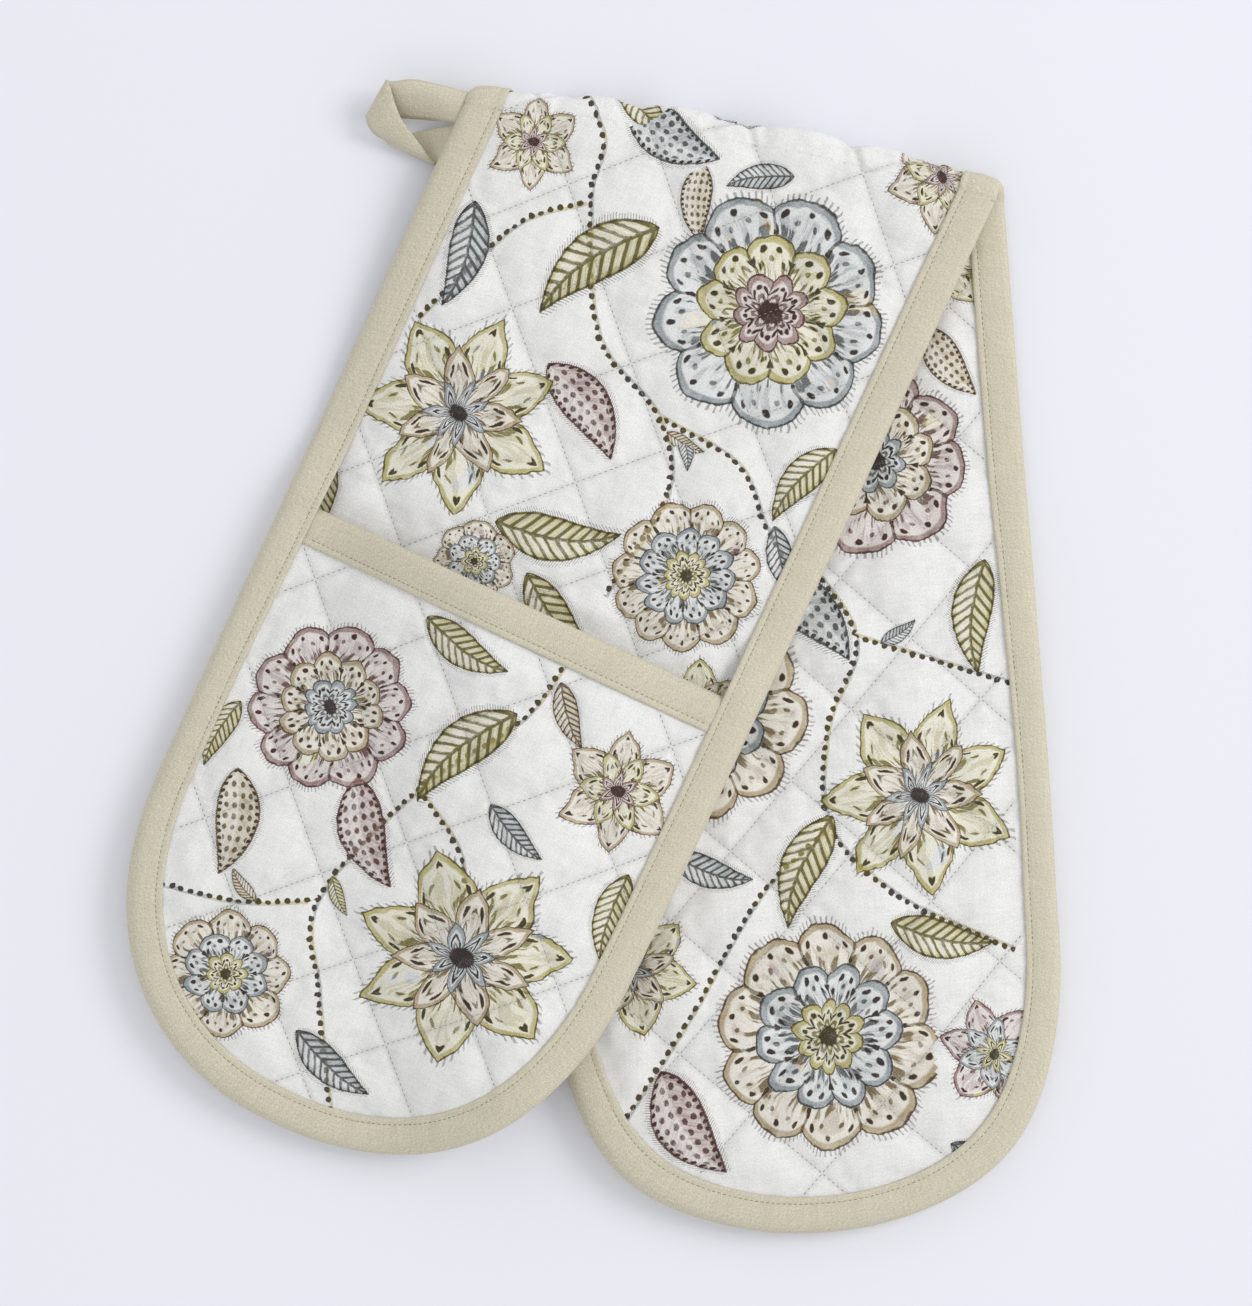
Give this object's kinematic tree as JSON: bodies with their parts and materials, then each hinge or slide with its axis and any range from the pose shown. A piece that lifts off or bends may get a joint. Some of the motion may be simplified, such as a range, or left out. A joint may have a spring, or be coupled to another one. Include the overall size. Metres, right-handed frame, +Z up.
{
  "type": "double oven glove",
  "caption": "Double oven glove: a quilted cotton strip with rounded toes, a hand pocket at each end, stone binding and a hanging loop, folded once at its middle.",
  "frame": {"origin": "centre of the glove's bounding box, at the table that it lies on", "axes": "+Z up from the table, +Y towards the fold, +X to the right as seen from above"},
  "size_m": [0.3249, 0.3989, 0.0399],
  "materials": {
    "printed_cotton": "matte printed linen-weave cotton",
    "lining_cotton": "matte plain cotton",
    "cotton_wadding": "soft fleece",
    "stone_binding": "matte twill tape"
  },
  "bodies": {
    "back_leaf": {"back_leaf_under_cover": "printed_cotton", "back_leaf_wadding": "cotton_wadding", "back_leaf_top_cover": "printed_cotton", "back_leaf_binding": "stone_binding", "fold_inner_cover": "printed_cotton", "fold_wadding": "cotton_wadding", "fold_outer_cover": "printed_cotton", "fold_binding_left": "stone_binding", "fold_binding_right": "stone_binding"},
    "front_leaf": {"front_leaf_under_cover": "printed_cotton", "front_leaf_wadding": "cotton_wadding", "front_leaf_top_cover": "printed_cotton", "front_leaf_binding": "stone_binding"},
    "back_pocket": {"back_pocket_cover": "printed_cotton", "back_pocket_wadding": "cotton_wadding", "back_pocket_lining": "lining_cotton", "back_pocket_mouth_binding": "stone_binding"},
    "front_pocket": {"front_pocket_cover": "printed_cotton", "front_pocket_wadding": "cotton_wadding", "front_pocket_lining": "lining_cotton", "front_pocket_mouth_binding": "stone_binding"},
    "hanging_loop": {"hanging_loop": "stone_binding"}
  },
  "joints": [
    {"name": "leaf_fold", "type": "hinge", "parent": "back_leaf", "child": "front_leaf", "pos_m": [0.0487, 0.1735, 0.0074], "axis": [-0.9842, 0.1771, 0], "range_deg": [0, 180], "deforming": ["fold_inner_cover", "fold_wadding", "fold_outer_cover", "fold_binding_left", "fold_binding_right"]},
    {"name": "back_pocket_opening", "type": "hinge", "parent": "back_leaf", "child": "back_pocket", "pos_m": [0.07913, -0.18492, 0], "axis": [-0.9968, -0.0802, 0], "range_deg": [0, 10]},
    {"name": "front_pocket_opening", "type": "hinge", "parent": "front_leaf", "child": "front_pocket", "pos_m": [-0.10475, -0.15184, 0.0271], "axis": [0.9063, -0.4226, 0], "range_deg": [0, 10]},
    {"name": "hanging_loop_swing", "type": "hinge", "parent": "front_leaf", "child": "hanging_loop", "pos_m": [-0.04894, 0.18151, 0.0136], "axis": [0.4226, 0.9063, 0], "range_deg": [0, 120]}
  ]
}
